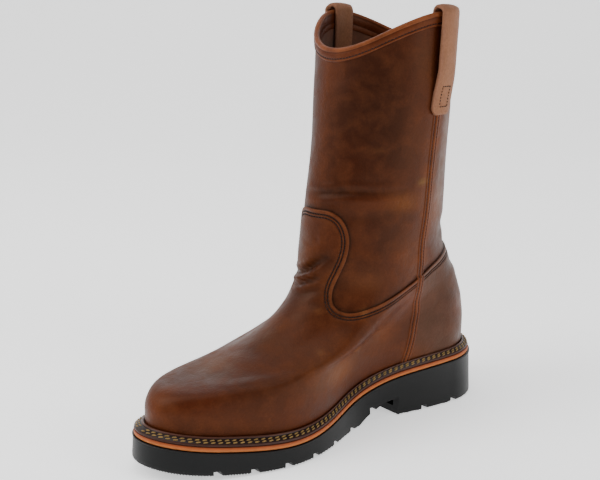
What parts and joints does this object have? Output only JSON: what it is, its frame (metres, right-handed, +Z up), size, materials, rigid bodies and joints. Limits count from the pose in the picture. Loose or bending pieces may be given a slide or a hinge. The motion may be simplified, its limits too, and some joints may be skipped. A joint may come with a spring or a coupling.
{
  "type": "western work boot",
  "caption": "Pull-on western work boot in distressed brown leather, with a scalloped collar, two pull straps, a storm welt and a lugged black rubber sole with a heel.",
  "frame": {"origin": "Middle of the heel's tread, on the floor the boot stands on.", "axes": "+Z up, along the shaft. The toe points along -Y and the heel's back faces +Y. +X is the foot's inner side, the one in view in the picture."},
  "size_m": [0.1219, 0.3164, 0.323],
  "materials": {
    "rubber": "moulded black rubber, semi-matt",
    "crepe": "orange-tan crepe, fine cut grain",
    "welt_leather": "dark brown waxed leather",
    "leather": "oiled brown leather, rubbed lighter at edges and folds",
    "insole_board": "plain tan sock leather, matt",
    "strap_leather": "oiled grey-brown leather"
  },
  "bodies": {
    "root": {"outsole": "rubber", "midsole": "crepe", "welt": "welt_leather", "upper": "leather", "insole": "insole_board", "strap_inner": "strap_leather", "strap_outer": "strap_leather"}
  },
  "joints": []
}
